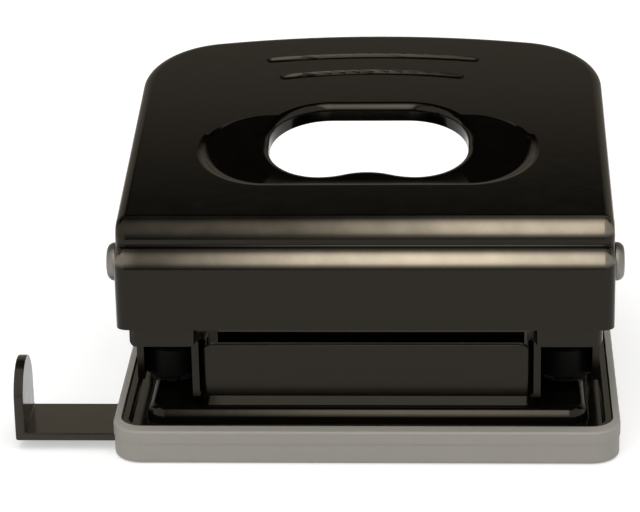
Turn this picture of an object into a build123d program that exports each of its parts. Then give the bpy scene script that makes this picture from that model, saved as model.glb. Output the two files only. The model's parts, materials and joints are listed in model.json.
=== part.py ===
# Two-hole desk punch, hand operated.
# Frame: X to the right, -Y towards the user's side with the paper slot, +Z up.
# Origin: centre of the chip tray's underside, on the plane midway between the two holes.
# Lengths are in millimetres, angles in degrees.

import os
from math import atan2, cos, degrees, pi, radians, sin, sqrt, tan

from build123d import *

os.makedirs("parts", exist_ok=True)

# ---------------------------------------------------------------- driving dimensions

# Holes in the paper
HOLE_SPACING = 80.0            # between the two holes' centres
HOLE_DIAMETER = 5.5            # hole in the paper, and the punch pin's diameter
HOLE_TO_PAPER_EDGE = 12.0      # hole centre to the paper's edge
SLOT_HEIGHT = 1.6              # paper slot, about 16 sheets

# Clearances
SHAFT_FIT = 0.05               # radial, round every pin and axle that turns or slides
DIE_CLEARANCE = 0.08           # radial, between the punch pin and the die
SEAT_FIT = 0.02                # between fixed pieces that sit in one another
RUNNING_GAP = 0.3              # between flat faces that pass each other
STOP_GAP = 0.1                 # between the lever's skirt and the bracket that stops it

# Chip tray
TRAY_WIDTH = 101.0
TRAY_DEPTH = 92.0
TRAY_HEIGHT = 7.0
TRAY_CORNER = 6.0
TRAY_WALL = 1.4
TRAY_FRONT_WALL = 2.8
TRAY_FLOOR = 1.2
TRAY_LEDGE_WIDTH = 1.6         # inward step that carries the base plate
TRAY_BAND = 2.6                # height of the plain band under the rim
TRAY_STEP = 0.15               # the wall below the band stands back by this
TRAY_RIM_ROUND = 0.5
TRAY_FOOT_ROUND = 0.6

# Base plate
BASE_SHEET = 1.2
FLANGE_TOP = 5.0
FLANGE_RISE = 1.5              # the flange's rim is turned up by this, inside the tray's wall
FLANGE_RIM_ROUND = 0.7         # hollow between the flange and its rim
FLANGE_WIDTH = 5.0             # from the plate's edge to the platform's top, at its sides
FLANGE_FRONT_WIDTH = 5.2
PLATFORM_TOP = 8.3
PLATFORM_CORNER = 3.5
PLATFORM_EDGE_ROUND = 2.2
PLATFORM_DRAFT = 12.0          # slope of the platform's walls from upright

# Dies
DIE_OUTER_DIAMETER = 9.0
DIE_HEIGHT = 2.6

# Punch pins
PIN_Y = -20.0
PIN_TOP_Z = 36.0
PIN_TIP_CLEARANCE = 0.5        # tip above the slot at rest
PIN_DOME_RADIUS = 4.0
PIN_GROOVE_Z = 33.7
PIN_GROOVE_WIDTH = 0.7
PIN_GROOVE_DEPTH = 0.6
PIN_CUP_RADIUS = 3.4           # the hollow across the cutting end
PIN_CUP_DEPTH = 1.3

# Lever
LEVER_SHEET = 1.2
LEVER_EDGE_ROUND = 2.2
LEVER_REAR_NARROWING = 0.7     # each side wall leans in by this from front to rear
SKIRT_FRONT_Y = -41.9
SKIRT_BOTTOM_Z = 27.1
LOWER_RIDGE_Z = 42.7
LOWER_RIDGE_ROUND = 4.1
GROOVE_Y = -38.1
GROOVE_Z = 43.4
GROOVE_ROUND = 0.45
UPPER_RIDGE_Z = 47.93
UPPER_RIDGE_ROUND = 4.5
FACE_ANGLE = 10.07             # the face climbs to the rear at this angle
LEVER_REAR_Y = 40.9
REAR_LIP_DEPTH = 8.5
REAR_CORNER_RADIUS = 18.2
REAR_BOW = 6.5                 # the rear edge stands out this much at its middle
SIDE_FLARE_START_Y = -24.0     # from here the side walls' lower edge climbs to the rear
SIDE_FLARE_ROUND = 20.0
REAR_EDGE_ROUND = 12.0         # where that edge levels out at the rear
REAR_EDGE_LEVEL = 6.0

# Hand hole, dish and grip grooves, measured up the lever's face from the upper ridge
HAND_HOLE_NEAR = 21.9
HAND_HOLE_FAR = 47.5
HAND_HOLE_HALF_WIDTH = 20.3
HAND_HOLE_NEAR_ROUND = 10.5
HAND_HOLE_FAR_ROUND = 12.5
HAND_HOLE_BUMP = 1.8
HAND_HOLE_LIP = 3.7
HAND_HOLE_FOLD = 1.5           # outer radius where the face turns down into the lip
DISH_FRONT = 15.8
DISH_REAR = 43.5
DISH_HALF_WIDTH = 34.0
DISH_CORNER = 13.6
DISH_DEPTH = 1.9
DISH_WALL_SLOPE = 50.0
GRIP_GROOVE_WIDTH = 2.4
GRIP_GROOVE_DEPTH = 0.6
# (half length, place of its ends, rise at its middle)
GRIP_GROOVES = [(21.6, 67.4, 1.8), (18.4, 59.9, 2.0)]

# Pivot
PIVOT_Y = -34.0
PIVOT_Z = 38.5
AXLE_DIAMETER = 5.0
AXLE_HEAD_DIAMETER = 7.6
AXLE_HEAD_HEIGHT = 1.85
AXLE_WASHER_DIAMETER = 8.2
AXLE_WASHER_THICKNESS = 0.8
AXLE_WASHER_GAP = 0.15         # each side of the washer

# Brackets
BRACKET_SHEET = 1.4
BRACKET_WIDTH = 13.4           # over both cheeks, centred on the pin
BRACKET_BEND = 1.8
BRACKET_EAR_RADIUS = 4.3
BRACKET_FLANGE_BOTTOM_Z = 23.0
BRACKET_FLANGE_TOP_Z = 36.0
BRACKET_FLANGE_CORNER = 1.2
BRACKET_LOWER_FRONT_Y = -36.6
BRACKET_LOWER_SETBACK = 9.0    # the outer cheek stands further back below the flange
BRACKET_REAR_TOP_Z = 24.0
BRACKET_REAR_Y = 8.0
BRACKET_REAR_HEIGHT = 5.0
BRACKET_SLOPE_START_Y = -6.0

# Front panel
PANEL_SHEET = 1.2
PANEL_FRONT_Y = -35.3
PANEL_TOP_Z = 21.2
PANEL_CORNER = 3.0
PANEL_RETURN = 8.0

# Pin guides
GUIDE_SIDE_GAP = 0.1
GUIDE_FRONT_RADIUS = 6.0
GUIDE_SHOULDER_BACK = 2.6      # the rounded nose stands this far ahead of the flat sides
GUIDE_REAR_Y = -12.5
GUIDE_SHOULDER_Z = 16.0
GUIDE_TOP_Z = 19.0
GUIDE_BOSS_DIAMETER = 9.4

# Springs
SPRING_WIRE = 0.8
SPRING_MEAN_RADIUS = 3.75
SPRING_TURNS = 5.5
SPRING_END_GAP = 0.03
SPRING_WASHER_DIAMETER = 9.2
SPRING_WASHER_THICKNESS = 0.6
CLIP_DIAMETER = 8.4
CLIP_THICKNESS = 0.6
CLIP_MOUTH = 3.2

# Press channel under the lever
CHANNEL_SHEET = 1.5
CHANNEL_FRONT_Y = -26.5
CHANNEL_REAR_Y = -17.9
CHANNEL_REAR_LIP = 3.0
CHANNEL_END_GAP = 1.0          # from its ends to where the lever's edges start to round
CHANNEL_BEND = 1.8

# Back stop
STOP_SHEET = 1.2
STOP_HEIGHT = 3.8
STOP_FOOT = 6.0
STOP_HALF_LENGTH = 32.0

# Rivets that hold the brackets and the back stop
RIVET_SHANK_DIAMETER = 3.0
RIVET_HEAD_DIAMETER = 5.2
RIVET_HEAD_HEIGHT = 1.1
RIVET_FOOT_DIAMETER = 4.4
RIVET_FOOT_HEIGHT = 0.8
BRACKET_RIVET_PLACES = [-3.5, 4.5]
STOP_RIVET_X = 22.0

# Paper guide
GUIDE_STRIP_INSET = 2.0        # behind the tray's front ledge
GUIDE_STRIP_WIDTH = 14.6
GUIDE_STRIP_TOP_Z = 3.5
GUIDE_STRIP_THICKNESS = 1.6
GUIDE_STOP_X = -68.6           # face of the arched stop that the paper's side meets
GUIDE_STOP_THICKNESS = 1.9
GUIDE_STOP_TOP_Z = 17.0
GUIDE_END_GAP = 5.0            # from its inner end to the ledge opposite
GUIDE_RAIL_WIDTH = 1.2
GUIDE_RAIL_GAP = 0.1
GUIDE_SLOT_GAP = 0.25

# ---------------------------------------------------------------- derived places

HALF_SPACING = HOLE_SPACING / 2
PIN_RADIUS = HOLE_DIAMETER / 2
SLOT_TOP_Z = PLATFORM_TOP + SLOT_HEIGHT
BACK_STOP_Y = PIN_Y + HOLE_TO_PAPER_EDGE
PIN_TIP_Z = SLOT_TOP_Z + PIN_TIP_CLEARANCE
AXLE_RADIUS = AXLE_DIAMETER / 2
PLATFORM_BOTTOM = PLATFORM_TOP - BASE_SHEET
FLANGE_BOTTOM = FLANGE_TOP - BASE_SHEET
BRACKET_INNER_X = HALF_SPACING - BRACKET_WIDTH / 2
BRACKET_OUTER_X = HALF_SPACING + BRACKET_WIDTH / 2
LEVER_INNER_HALF = BRACKET_OUTER_X + AXLE_WASHER_THICKNESS + 2 * AXLE_WASHER_GAP
LEVER_HALF = LEVER_INNER_HALF + LEVER_SHEET
CHANNEL_HALF_LENGTH = LEVER_HALF - LEVER_EDGE_ROUND - CHANNEL_END_GAP
BRACKET_FLANGE_FRONT_Y = SKIRT_FRONT_Y + LEVER_SHEET + STOP_GAP
TRAY_INNER_HALF = TRAY_WIDTH / 2 - TRAY_WALL
TRAY_INNER_FRONT_Y = TRAY_FRONT_WALL - TRAY_DEPTH / 2
TRAY_INNER_REAR_Y = TRAY_DEPTH / 2 - TRAY_WALL
PLATFORM_HALF = TRAY_INNER_HALF - RUNNING_GAP - FLANGE_WIDTH
PLATFORM_FRONT_Y = TRAY_INNER_FRONT_Y + RUNNING_GAP + FLANGE_FRONT_WIDTH
PLATFORM_REAR_Y = TRAY_INNER_REAR_Y - RUNNING_GAP - FLANGE_WIDTH
GUIDE_STRIP_FRONT_Y = TRAY_INNER_FRONT_Y + TRAY_LEDGE_WIDTH + GUIDE_STRIP_INSET
GUIDE_STRIP_REAR_Y = GUIDE_STRIP_FRONT_Y + GUIDE_STRIP_WIDTH
GUIDE_STRIP_BOTTOM_Z = GUIDE_STRIP_TOP_Z - GUIDE_STRIP_THICKNESS
LEDGE_INNER_HALF = TRAY_INNER_HALF - TRAY_LEDGE_WIDTH
GUIDE_INNER_END_X = LEDGE_INNER_HALF - GUIDE_END_GAP
FACE_PLANE = Plane(
    origin=(0, GROOVE_Y, UPPER_RIDGE_Z),
    x_dir=(1, 0, 0),
    z_dir=(0, -sin(radians(FACE_ANGLE)), cos(radians(FACE_ANGLE))),
)
SIDE_PLANE = Plane(origin=(0, 0, 0), x_dir=(0, 1, 0), z_dir=(1, 0, 0))
SIDES = {"left": -1, "right": 1}


# ---------------------------------------------------------------- helpers

def face_height(y):
    """Height of the lever's outer face above a place y."""
    return UPPER_RIDGE_Z + (y - GROOVE_Y) * tan(radians(FACE_ANGLE))


def block(x0, x1, y0, y1, z0, z1):
    """Box between two opposite corners."""
    centre = ((x0 + x1) / 2, (y0 + y1) / 2, (z0 + z1) / 2)
    return Pos(*centre) * Box(x1 - x0, y1 - y0, z1 - z0)


def rod(x, y, z0, z1, radius):
    """Upright cylinder."""
    return Pos(x, y, (z0 + z1) / 2) * Cylinder(radius, z1 - z0)


def cross_rod(y, z, x0, x1, radius):
    """Cylinder along X."""
    return Pos((x0 + x1) / 2, y, z) * Rot(0, 90, 0) * Cylinder(radius, x1 - x0)


def side_prism(sketch, x0, x1):
    """Extrude a sketch drawn in the side view (y, z) from x0 to x1."""
    return Pos(x0, 0, 0) * extrude(SIDE_PLANE * sketch, x1 - x0)


def closed_outline(points, radii):
    """Flat face inside a closed polyline with one corner radius a point."""
    return make_face(FilletPolyline(*points, radius=radii, close=True))


def mirrored(solid, side):
    """The solid as modelled on the right, or its mirror image on the left."""
    return solid if side > 0 else mirror(solid, about=Plane.YZ)


def save(solid, name):
    """Write one sub-part."""
    export_step(solid, f"parts/{name}.step")


# ---------------------------------------------------------------- chip tray and base plate

def rounded_plate(half, y0, y1, corner, z0, z1):
    """Flat plate with rounded corners."""
    sketch = Pos(0, (y0 + y1) / 2) * RectangleRounded(2 * half, y1 - y0, corner)
    return Pos(0, 0, z0) * extrude(sketch, z1 - z0)


def tray_body(inset, z0, z1):
    """Plate with the tray's outline, drawn in by an inset."""
    reach = TRAY_DEPTH / 2 - inset
    return rounded_plate(TRAY_WIDTH / 2 - inset, -reach, reach, TRAY_CORNER - inset, z0, z1)


def tray_opening(inset, z0, z1):
    """Plate with the outline of the tray's inner wall, drawn in by an inset."""
    corner = TRAY_CORNER - TRAY_WALL - inset
    return rounded_plate(TRAY_INNER_HALF - inset, TRAY_INNER_FRONT_Y + inset,
                         TRAY_INNER_REAR_Y - inset, corner, z0, z1)


def make_chip_tray():
    """Grey moulded tray: plain band under the rim, ledge for the base plate, guide slot."""
    band_bottom = TRAY_HEIGHT - TRAY_BAND
    tray = tray_body(0, band_bottom, TRAY_HEIGHT) + tray_body(TRAY_STEP, 0, band_bottom)
    tray = fillet(tray.edges().group_by(Axis.Z)[0], TRAY_FOOT_ROUND)
    tray = fillet(tray.edges().group_by(Axis.Z)[-1], TRAY_RIM_ROUND)
    tray -= tray_opening(0, FLANGE_BOTTOM, TRAY_HEIGHT + 1)
    tray -= tray_opening(TRAY_LEDGE_WIDTH, TRAY_FLOOR, TRAY_HEIGHT)
    rail_top = GUIDE_STRIP_BOTTOM_Z - GUIDE_RAIL_GAP
    for edge_y, inward in ((GUIDE_STRIP_FRONT_Y, 1), (GUIDE_STRIP_REAR_Y, -1)):
        y0, y1 = sorted((edge_y, edge_y + inward * GUIDE_RAIL_WIDTH))
        tray += block(-LEDGE_INNER_HALF, LEDGE_INNER_HALF, y0, y1, TRAY_FLOOR, rail_top)
    slot = block(-TRAY_WIDTH, TRAY_CORNER - LEDGE_INNER_HALF,
                 GUIDE_STRIP_FRONT_Y - GUIDE_SLOT_GAP, GUIDE_STRIP_REAR_Y + GUIDE_SLOT_GAP,
                 GUIDE_STRIP_BOTTOM_Z - GUIDE_SLOT_GAP, GUIDE_STRIP_TOP_Z + GUIDE_SLOT_GAP)
    return tray - slot


def make_base_plate():
    """Pressed steel plate: raised platform with sloping walls, flange with upturned rim."""
    plate = tray_opening(RUNNING_GAP, FLANGE_BOTTOM, FLANGE_TOP + FLANGE_RISE)
    plate -= tray_opening(RUNNING_GAP + BASE_SHEET, FLANGE_TOP, TRAY_HEIGHT)
    hollow_edge = plate.edges().group_by(Axis.Z)[1]
    plate = fillet(hollow_edge, FLANGE_RIM_ROUND)
    depth = PLATFORM_REAR_Y - PLATFORM_FRONT_Y
    middle = (PLATFORM_REAR_Y + PLATFORM_FRONT_Y) / 2
    rise = PLATFORM_TOP - FLANGE_BOTTOM
    spread = rise * tan(radians(PLATFORM_DRAFT))
    wall = BASE_SHEET / cos(radians(PLATFORM_DRAFT))
    width = 2 * PLATFORM_HALF
    foot = RectangleRounded(width + 2 * spread, depth + 2 * spread, PLATFORM_CORNER + spread)
    hat = Pos(0, middle, FLANGE_BOTTOM) * extrude(foot, rise, taper=PLATFORM_DRAFT)
    hat = fillet(hat.edges().group_by(Axis.Z)[-1], PLATFORM_EDGE_ROUND)
    inside = RectangleRounded(width + 2 * (spread - wall), depth + 2 * (spread - wall),
                              PLATFORM_CORNER + spread - wall)
    hollow = extrude(inside, rise - BASE_SHEET, taper=PLATFORM_DRAFT)
    plate += hat
    plate -= Pos(0, middle, FLANGE_BOTTOM) * hollow
    for side in SIDES.values():
        x = side * HALF_SPACING
        plate -= rod(x, PIN_Y, 0, PLATFORM_TOP + 1, DIE_OUTER_DIAMETER / 2 + SEAT_FIT)
    for x, y, top in rivet_places():
        plate -= rod(x, y, 0, PLATFORM_TOP + 1, RIVET_SHANK_DIAMETER / 2 + SEAT_FIT)
    return plate


def make_die(side):
    """Hardened ring let into the base plate; the pin shears the paper on its upper edge."""
    x = side * HALF_SPACING
    bottom = PLATFORM_TOP - DIE_HEIGHT
    ring = rod(x, PIN_Y, bottom, PLATFORM_TOP, DIE_OUTER_DIAMETER / 2)
    ring -= rod(x, PIN_Y, bottom - 1, PLATFORM_TOP + 1, PIN_RADIUS + DIE_CLEARANCE)
    lower_edge = ring.edges().group_by(Axis.Z)[0].sort_by(SortBy.RADIUS)[-1]
    return chamfer(lower_edge, 0.5)


def rivet_places():
    """Centre and top of the sheet under each rivet's head."""
    places = []
    for side in SIDES.values():
        for y in BRACKET_RIVET_PLACES:
            places.append((side * HALF_SPACING, y, PLATFORM_TOP + BRACKET_SHEET))
        places.append((side * STOP_RIVET_X, BACK_STOP_Y + STOP_SHEET + STOP_FOOT / 2,
                       PLATFORM_TOP + STOP_SHEET))
    return places


def make_rivets():
    """Domed rivets through the base plate, with a flat closing head beneath."""
    radius = RIVET_HEAD_DIAMETER / 2
    dome_radius = (radius ** 2 + RIVET_HEAD_HEIGHT ** 2) / (2 * RIVET_HEAD_HEIGHT)
    rivets = []
    for x, y, top in rivet_places():
        shank = rod(x, y, PLATFORM_BOTTOM, top, RIVET_SHANK_DIAMETER / 2)
        dome = Pos(x, y, top + RIVET_HEAD_HEIGHT - dome_radius) * Sphere(dome_radius)
        head = rod(x, y, top, top + RIVET_HEAD_HEIGHT, radius) & dome
        foot = rod(x, y, PLATFORM_BOTTOM - RIVET_FOOT_HEIGHT, PLATFORM_BOTTOM,
                   RIVET_FOOT_DIAMETER / 2)
        rivets.append(shank + head + foot)
    return Compound(children=rivets)


def make_back_stop():
    """Angle strip that the paper's edge meets at the back of the slot."""
    points = [
        (BACK_STOP_Y, PLATFORM_TOP),
        (BACK_STOP_Y + STOP_SHEET + STOP_FOOT, PLATFORM_TOP),
        (BACK_STOP_Y + STOP_SHEET + STOP_FOOT, PLATFORM_TOP + STOP_SHEET),
        (BACK_STOP_Y + STOP_SHEET, PLATFORM_TOP + STOP_SHEET),
        (BACK_STOP_Y + STOP_SHEET, PLATFORM_TOP + STOP_HEIGHT),
        (BACK_STOP_Y, PLATFORM_TOP + STOP_HEIGHT),
    ]
    radii = [STOP_SHEET * 1.2, 0, 0, 0.3, 0, 0]
    strip = side_prism(closed_outline(points, radii), -STOP_HALF_LENGTH, STOP_HALF_LENGTH)
    for x, y, top in rivet_places():
        strip -= rod(x, y, 0, top + 5, RIVET_SHANK_DIAMETER / 2 + SEAT_FIT)
    return strip


# ---------------------------------------------------------------- brackets, panel, pin guides

def cheek_outline(lower_front_y):
    """Side view of one cheek: ear round the axle, slot below, foot on the base plate."""
    ear_rear = PIVOT_Y + BRACKET_EAR_RADIUS
    flange_back = BRACKET_FLANGE_FRONT_Y + BRACKET_BEND
    points = [
        (lower_front_y, SLOT_TOP_Z),
        (BACK_STOP_Y, SLOT_TOP_Z),
        (BACK_STOP_Y, PLATFORM_TOP),
        (BRACKET_REAR_Y, PLATFORM_TOP),
        (BRACKET_REAR_Y, PLATFORM_TOP + BRACKET_REAR_HEIGHT),
        (BRACKET_SLOPE_START_Y, BRACKET_REAR_TOP_Z),
        (ear_rear, BRACKET_REAR_TOP_Z),
        (ear_rear, PIVOT_Z),
        (flange_back, PIVOT_Z - BRACKET_EAR_RADIUS),
        (flange_back, BRACKET_FLANGE_BOTTOM_Z),
        (lower_front_y, BRACKET_FLANGE_BOTTOM_Z),
    ]
    radii = [0.6, 0, 0, 0, 2.0, 6.0, 2.5, 0, 0, 0.8, 1.0]
    ear = Pos(PIVOT_Y, PIVOT_Z) * Circle(BRACKET_EAR_RADIUS)
    return closed_outline(points, radii) + ear


def bracket_flange():
    """Front flange and its two bends, with rounded lower corners."""
    inner, outer = BRACKET_INNER_X, BRACKET_OUTER_X
    front = BRACKET_FLANGE_FRONT_Y
    rear = front + 2 * BRACKET_BEND
    width = outer - inner
    middle = (inner + outer) / 2
    reach = 2 * (rear - front)
    around = Pos(middle, rear) * RectangleRounded(width, reach, BRACKET_BEND)
    inside = offset(around, -BRACKET_SHEET)
    behind = Pos(middle, rear + reach / 2) * Rectangle(width + 1, reach)
    height = BRACKET_FLANGE_TOP_Z - BRACKET_FLANGE_BOTTOM_Z
    folded = Pos(0, 0, BRACKET_FLANGE_BOTTOM_Z) * extrude(around - inside - behind, height)
    face = Pos(middle, BRACKET_FLANGE_BOTTOM_Z + height / 2)
    face *= RectangleRounded(width, height, BRACKET_FLANGE_CORNER)
    front_view = Plane(origin=(0, 0, 0), x_dir=(1, 0, 0), z_dir=(0, -1, 0))
    return folded & extrude(front_view * face, -2 * front)


def make_bracket(side):
    """Pressed bracket: two cheeks joined by the front flange above and the foot below."""
    t = BRACKET_SHEET
    inner, outer = BRACKET_INNER_X, BRACKET_OUTER_X
    cheeks = side_prism(cheek_outline(BRACKET_LOWER_FRONT_Y), inner, inner + t)
    set_back = BRACKET_LOWER_FRONT_Y + BRACKET_LOWER_SETBACK
    cheeks += side_prism(cheek_outline(set_back), outer - t, outer)
    bracket = cheeks + bracket_flange()
    bracket += block(inner, outer, BACK_STOP_Y, BRACKET_REAR_Y, PLATFORM_TOP, PLATFORM_TOP + t)
    bracket -= cross_rod(PIVOT_Y, PIVOT_Z, inner - 1, outer + 1, AXLE_RADIUS + SHAFT_FIT)
    for x, y, top in rivet_places():
        bracket -= rod(x, y, 0, top + 1, RIVET_SHANK_DIAMETER / 2 + SEAT_FIT)
    return mirrored(bracket, side)


def make_front_panel():
    """Folded panel between the brackets, its sides turned back along their cheeks."""
    half = BRACKET_INNER_X - SEAT_FIT
    rear = PANEL_FRONT_Y + PANEL_RETURN
    panel = block(-half, half, PANEL_FRONT_Y, rear, SLOT_TOP_Z, PANEL_TOP_Z)
    panel = fillet(panel.edges().filter_by(Axis.Z).group_by(Axis.Y)[0], 1.6)
    inner = half - PANEL_SHEET
    panel -= block(-inner, inner, PANEL_FRONT_Y + PANEL_SHEET, rear + 1, 0, PANEL_TOP_Z + 1)
    outline = closed_outline(
        [(-half, SLOT_TOP_Z), (half, SLOT_TOP_Z), (half, PANEL_TOP_Z), (-half, PANEL_TOP_Z)],
        [0.5, 0.5, PANEL_CORNER, PANEL_CORNER],
    )
    front_view = Plane(origin=(0, 0, 0), x_dir=(1, 0, 0), z_dir=(0, -1, 0))
    keep = extrude(front_view * outline, -PANEL_FRONT_Y + 1) + extrude(front_view * outline, -1)
    return panel & keep


def make_pin_guide(side):
    """Block between the cheeks with the pin's long bore and a boss for the spring."""
    inner = BRACKET_INNER_X + BRACKET_SHEET + GUIDE_SIDE_GAP
    outer = BRACKET_OUTER_X - BRACKET_SHEET - GUIDE_SIDE_GAP
    nose_y = PIN_Y - GUIDE_FRONT_RADIUS
    shoulder_y = nose_y + GUIDE_SHOULDER_BACK
    with BuildSketch() as plan:
        with BuildLine():
            nose = ThreePointArc((inner, shoulder_y), (HALF_SPACING, nose_y), (outer, shoulder_y))
            outer_side = Line(nose @ 1, (outer, GUIDE_REAR_Y))
            rear = Line(outer_side @ 1, (inner, GUIDE_REAR_Y))
            Line(rear @ 1, nose @ 0)
        make_face()
    guide = Pos(0, 0, SLOT_TOP_Z) * extrude(plan.sketch, GUIDE_SHOULDER_Z - SLOT_TOP_Z)
    guide = chamfer(guide.edges().group_by(Axis.Z)[-1], 0.5)
    boss = rod(HALF_SPACING, PIN_Y, SLOT_TOP_Z, GUIDE_TOP_Z, GUIDE_BOSS_DIAMETER / 2)
    guide += boss
    guide -= rod(HALF_SPACING, PIN_Y, 0, GUIDE_TOP_Z + 1, PIN_RADIUS + SHAFT_FIT)
    return mirrored(guide, side)


# ---------------------------------------------------------------- pivot

def make_pivot_axle():
    """Cross axle with a domed, upset head outside each of the lever's side walls."""
    half = LEVER_HALF + SHAFT_FIT
    axle = cross_rod(PIVOT_Y, PIVOT_Z, -half, half, AXLE_RADIUS)
    radius = AXLE_HEAD_DIAMETER / 2
    for side in SIDES.values():
        x0, x1 = sorted((side * half, side * (half + AXLE_HEAD_HEIGHT)))
        head = cross_rod(PIVOT_Y, PIVOT_Z, x0, x1, radius)
        rim = head.edges().group_by(Axis.X)[-1 if side > 0 else 0]
        axle += fillet(rim, AXLE_HEAD_HEIGHT * 0.8)
    return axle


def make_axle_washer(side):
    """Washer that fills most of the gap between lever and bracket."""
    inner = BRACKET_OUTER_X + AXLE_WASHER_GAP
    outer = inner + AXLE_WASHER_THICKNESS
    washer = cross_rod(PIVOT_Y, PIVOT_Z, inner, outer, AXLE_WASHER_DIAMETER / 2)
    washer -= cross_rod(PIVOT_Y, PIVOT_Z, inner - 1, outer + 1, AXLE_RADIUS + SHAFT_FIT)
    return mirrored(washer, side)


# ---------------------------------------------------------------- lever

def lever_block(inset):
    """The lever's outer form, or the same form drawn in by the sheet's thickness."""
    profile = closed_outline(
        [
            (SKIRT_FRONT_Y, 0),
            (SKIRT_FRONT_Y, LOWER_RIDGE_Z),
            (GROOVE_Y, GROOVE_Z),
            (GROOVE_Y, UPPER_RIDGE_Z),
            (LEVER_REAR_Y, face_height(LEVER_REAR_Y)),
            (LEVER_REAR_Y, 0),
        ],
        [0, LOWER_RIDGE_ROUND, GROOVE_ROUND, UPPER_RIDGE_ROUND, 0, 0],
    )
    if inset:
        profile = offset(profile, -inset)
    slab = side_prism(profile, -2 * LEVER_HALF, 2 * LEVER_HALF)
    form = slab & lever_plan_prism(inset)
    rounded = [edge for edge in form.edges() if on_lever_rim(edge, inset)]
    return fillet(rounded, LEVER_EDGE_ROUND - inset)


def lever_plan_prism(inset):
    """Upright prism with the lever's plan: sides drawn in, bowed rear, rounded corners."""
    half = LEVER_HALF
    rear_half = LEVER_HALF - LEVER_REAR_NARROWING
    shoulder = LEVER_REAR_Y - REAR_BOW
    ahead = SKIRT_FRONT_Y - 2 * LEVER_SHEET
    with BuildSketch() as plan:
        with BuildLine():
            left = Polyline((-rear_half, shoulder), (-half, SKIRT_FRONT_Y), (-half, ahead))
            front = Line(left @ 1, (half, ahead))
            right = Polyline(front @ 1, (half, SKIRT_FRONT_Y), (rear_half, shoulder))
            ThreePointArc(right @ 1, (0, LEVER_REAR_Y), left @ 0)
        make_face()
        rear_corners = plan.vertices().group_by(Axis.Y)[-1]
        fillet(rear_corners, REAR_CORNER_RADIUS)
        if inset:
            offset(amount=-inset, mode=Mode.REPLACE)
    return extrude(plan.sketch, 2 * LEVER_REAR_Y)


def side_half(y, inset):
    """Half the lever's width at a place y, between its straight side walls."""
    share = (y - SKIRT_FRONT_Y) / (LEVER_REAR_Y - REAR_BOW - SKIRT_FRONT_Y)
    return LEVER_HALF - inset - LEVER_REAR_NARROWING * max(0, share)


def on_lever_rim(edge, inset):
    """True for the edges where the lever's top and skirt turn into its sides and rear."""
    for place in (0, 0.5, 1):
        point = edge @ place
        at_side = abs(abs(point.X) - side_half(point.Y, inset)) < 0.05
        below_face = (face_height(point.Y) - point.Z) * cos(radians(FACE_ANGLE)) - inset
        on_face = abs(below_face) < 0.01 and point.Y > 0
        if not (at_side or on_face) or point.Z < inset - 0.01:
            return False
    level = abs((edge @ 0).Z - (edge @ 1).Z) < 0.01 and (edge @ 0).Z < SKIRT_BOTTOM_Z
    upright_rear = abs((edge @ 0).Y - (edge @ 1).Y) < 0.01 and (edge @ 0).Y > 0
    flat_across = upright_rear and abs((edge @ 0).Z - (edge @ 1).Z) > 1
    return not (level or flat_across)


def below_lever():
    """Everything under the lower edge of the skirt and side walls."""
    rear_bottom = face_height(LEVER_REAR_Y) - REAR_LIP_DEPTH
    front, rear = 2 * SKIRT_FRONT_Y, 2 * LEVER_REAR_Y
    points = [
        (front, -LEVER_REAR_Y),
        (rear, -LEVER_REAR_Y),
        (rear, rear_bottom),
        (LEVER_REAR_Y - REAR_EDGE_LEVEL, rear_bottom),
        (SIDE_FLARE_START_Y, SKIRT_BOTTOM_Z),
        (front, SKIRT_BOTTOM_Z),
    ]
    outline = closed_outline(points, [0, 0, 0, REAR_EDGE_ROUND, SIDE_FLARE_ROUND, 0])
    return side_prism(outline, -2 * LEVER_HALF, 2 * LEVER_HALF)


def dish_tool(grow, drop):
    """Shallow dish round the hand hole: soft sloping sides, floor deepest at its front."""
    half = DISH_HALF_WIDTH + grow
    front = DISH_FRONT - grow
    rear = DISH_REAR + grow
    corner = DISH_CORNER + grow
    outline = Pos(0, (front + rear) / 2) * RectangleRounded(2 * half, rear - front, corner)
    bowl = extrude(FACE_PLANE * outline, -2 * DISH_DEPTH, taper=DISH_WALL_SLOPE)
    tilt = degrees(atan2(DISH_DEPTH, DISH_REAR - DISH_FRONT))
    floor_start = FACE_PLANE * Pos(0, DISH_REAR, 0) * Rot(tilt, 0, 0)
    above_floor = floor_start * Pos(0, -DISH_REAR, 10) * Box(200, 4 * DISH_REAR, 20)
    tool = bowl & above_floor
    return Pos(FACE_PLANE.z_dir * -drop) * tool


def hand_hole_outline(grow):
    """Hand hole in the face: wide oval with a low bump in the middle of its near edge."""
    near = HAND_HOLE_NEAR
    half = HAND_HOLE_HALF_WIDTH
    lobe_x = half - HAND_HOLE_NEAR_ROUND
    lobe_y = near + HAND_HOLE_NEAR_ROUND
    far_y = HAND_HOLE_FAR - HAND_HOLE_FAR_ROUND
    bump = (0, near + HAND_HOLE_BUMP)
    turn = sqrt(0.5)
    with BuildSketch() as hole:
        with BuildLine():
            rise = TangentArc(bump, (lobe_x / 2, near + HAND_HOLE_BUMP / 2), tangent=(1, 0))
            fall = TangentArc(rise @ 1, (lobe_x, near), tangent=rise % 1)
            lobe_mid = (lobe_x + HAND_HOLE_NEAR_ROUND * turn, lobe_y - HAND_HOLE_NEAR_ROUND * turn)
            lobe = ThreePointArc(fall @ 1, lobe_mid, (half, lobe_y))
            side = Line(lobe @ 1, (half, far_y))
            far_x = half - HAND_HOLE_FAR_ROUND
            far_mid = (far_x + HAND_HOLE_FAR_ROUND * turn, far_y + HAND_HOLE_FAR_ROUND * turn)
            far = ThreePointArc(side @ 1, far_mid, (far_x, HAND_HOLE_FAR))
            Line(far @ 1, (0, HAND_HOLE_FAR))
            mirror(about=Plane.YZ)
        make_face()
        if grow:
            offset(amount=grow, mode=Mode.REPLACE)
    return FACE_PLANE * hole.sketch


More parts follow.
